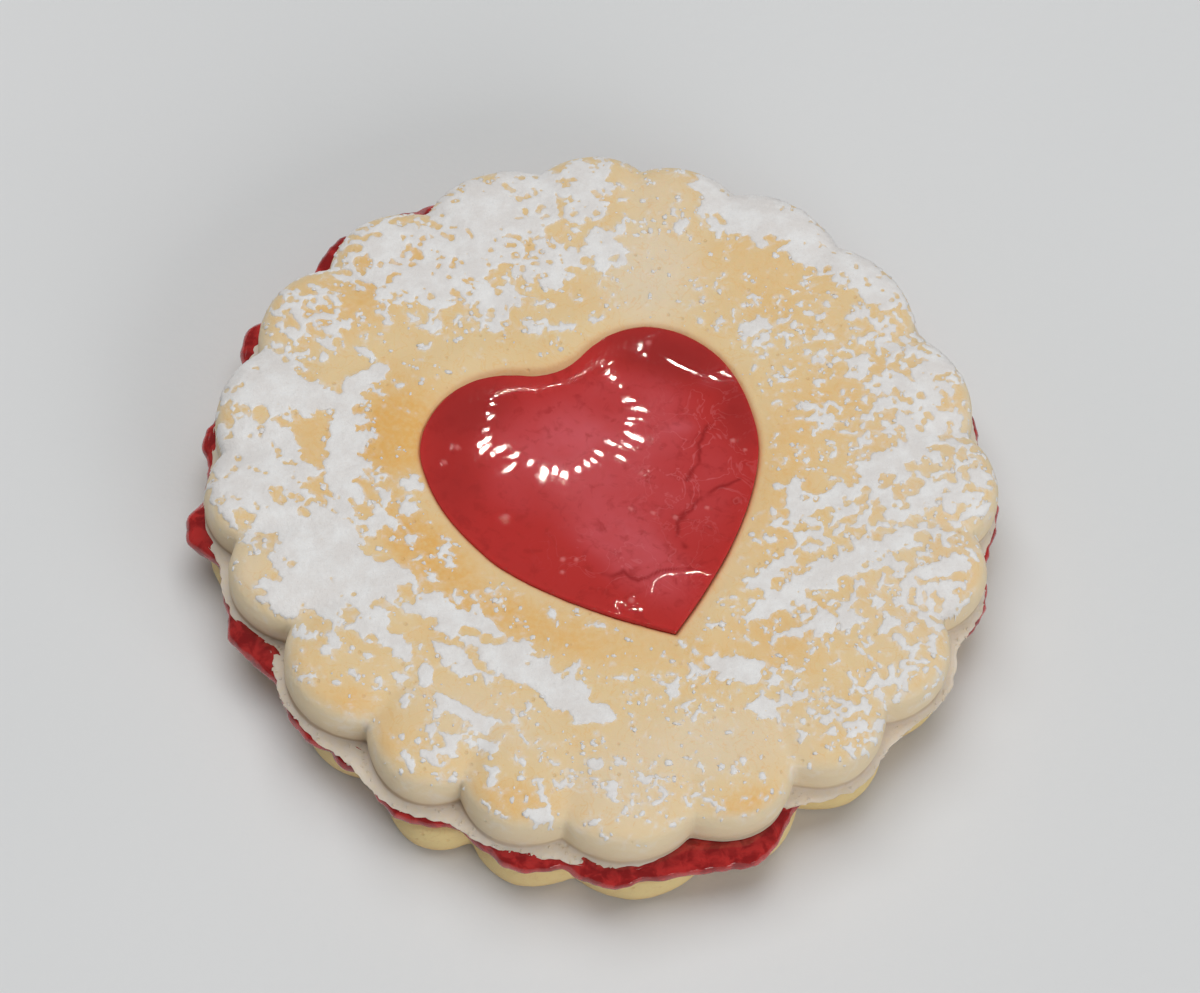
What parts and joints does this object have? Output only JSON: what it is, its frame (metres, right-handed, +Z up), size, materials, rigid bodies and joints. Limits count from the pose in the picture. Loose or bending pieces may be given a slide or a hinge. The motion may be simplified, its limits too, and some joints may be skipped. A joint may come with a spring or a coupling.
{
  "type": "miniature linzer cookie",
  "caption": "Scalloped sandwich cookie in baked modelling clay at doll's-house size, with red jam at its seam and in a heart-shaped window, dusted white.",
  "frame": {"origin": "middle of the scalloped rim, on the surface that the cookie stands on", "axes": "+Z up through the cookie's thickness; +X and +Y lie on the table, with the heart's tip pointing between +X and -Y"},
  "size_m": [0.0217, 0.0215, 0.0035],
  "materials": {
    "clay_cream": "matte baked clay, cream yellow",
    "jam": "glossy red gel with small bubbles",
    "clay_baked": "matte baked clay shaded golden brown, dabbed with white powder"
  },
  "bodies": {
    "root": {"biscuit_bottom": "clay_cream", "jam": "jam", "biscuit_top": "clay_baked"}
  },
  "joints": []
}
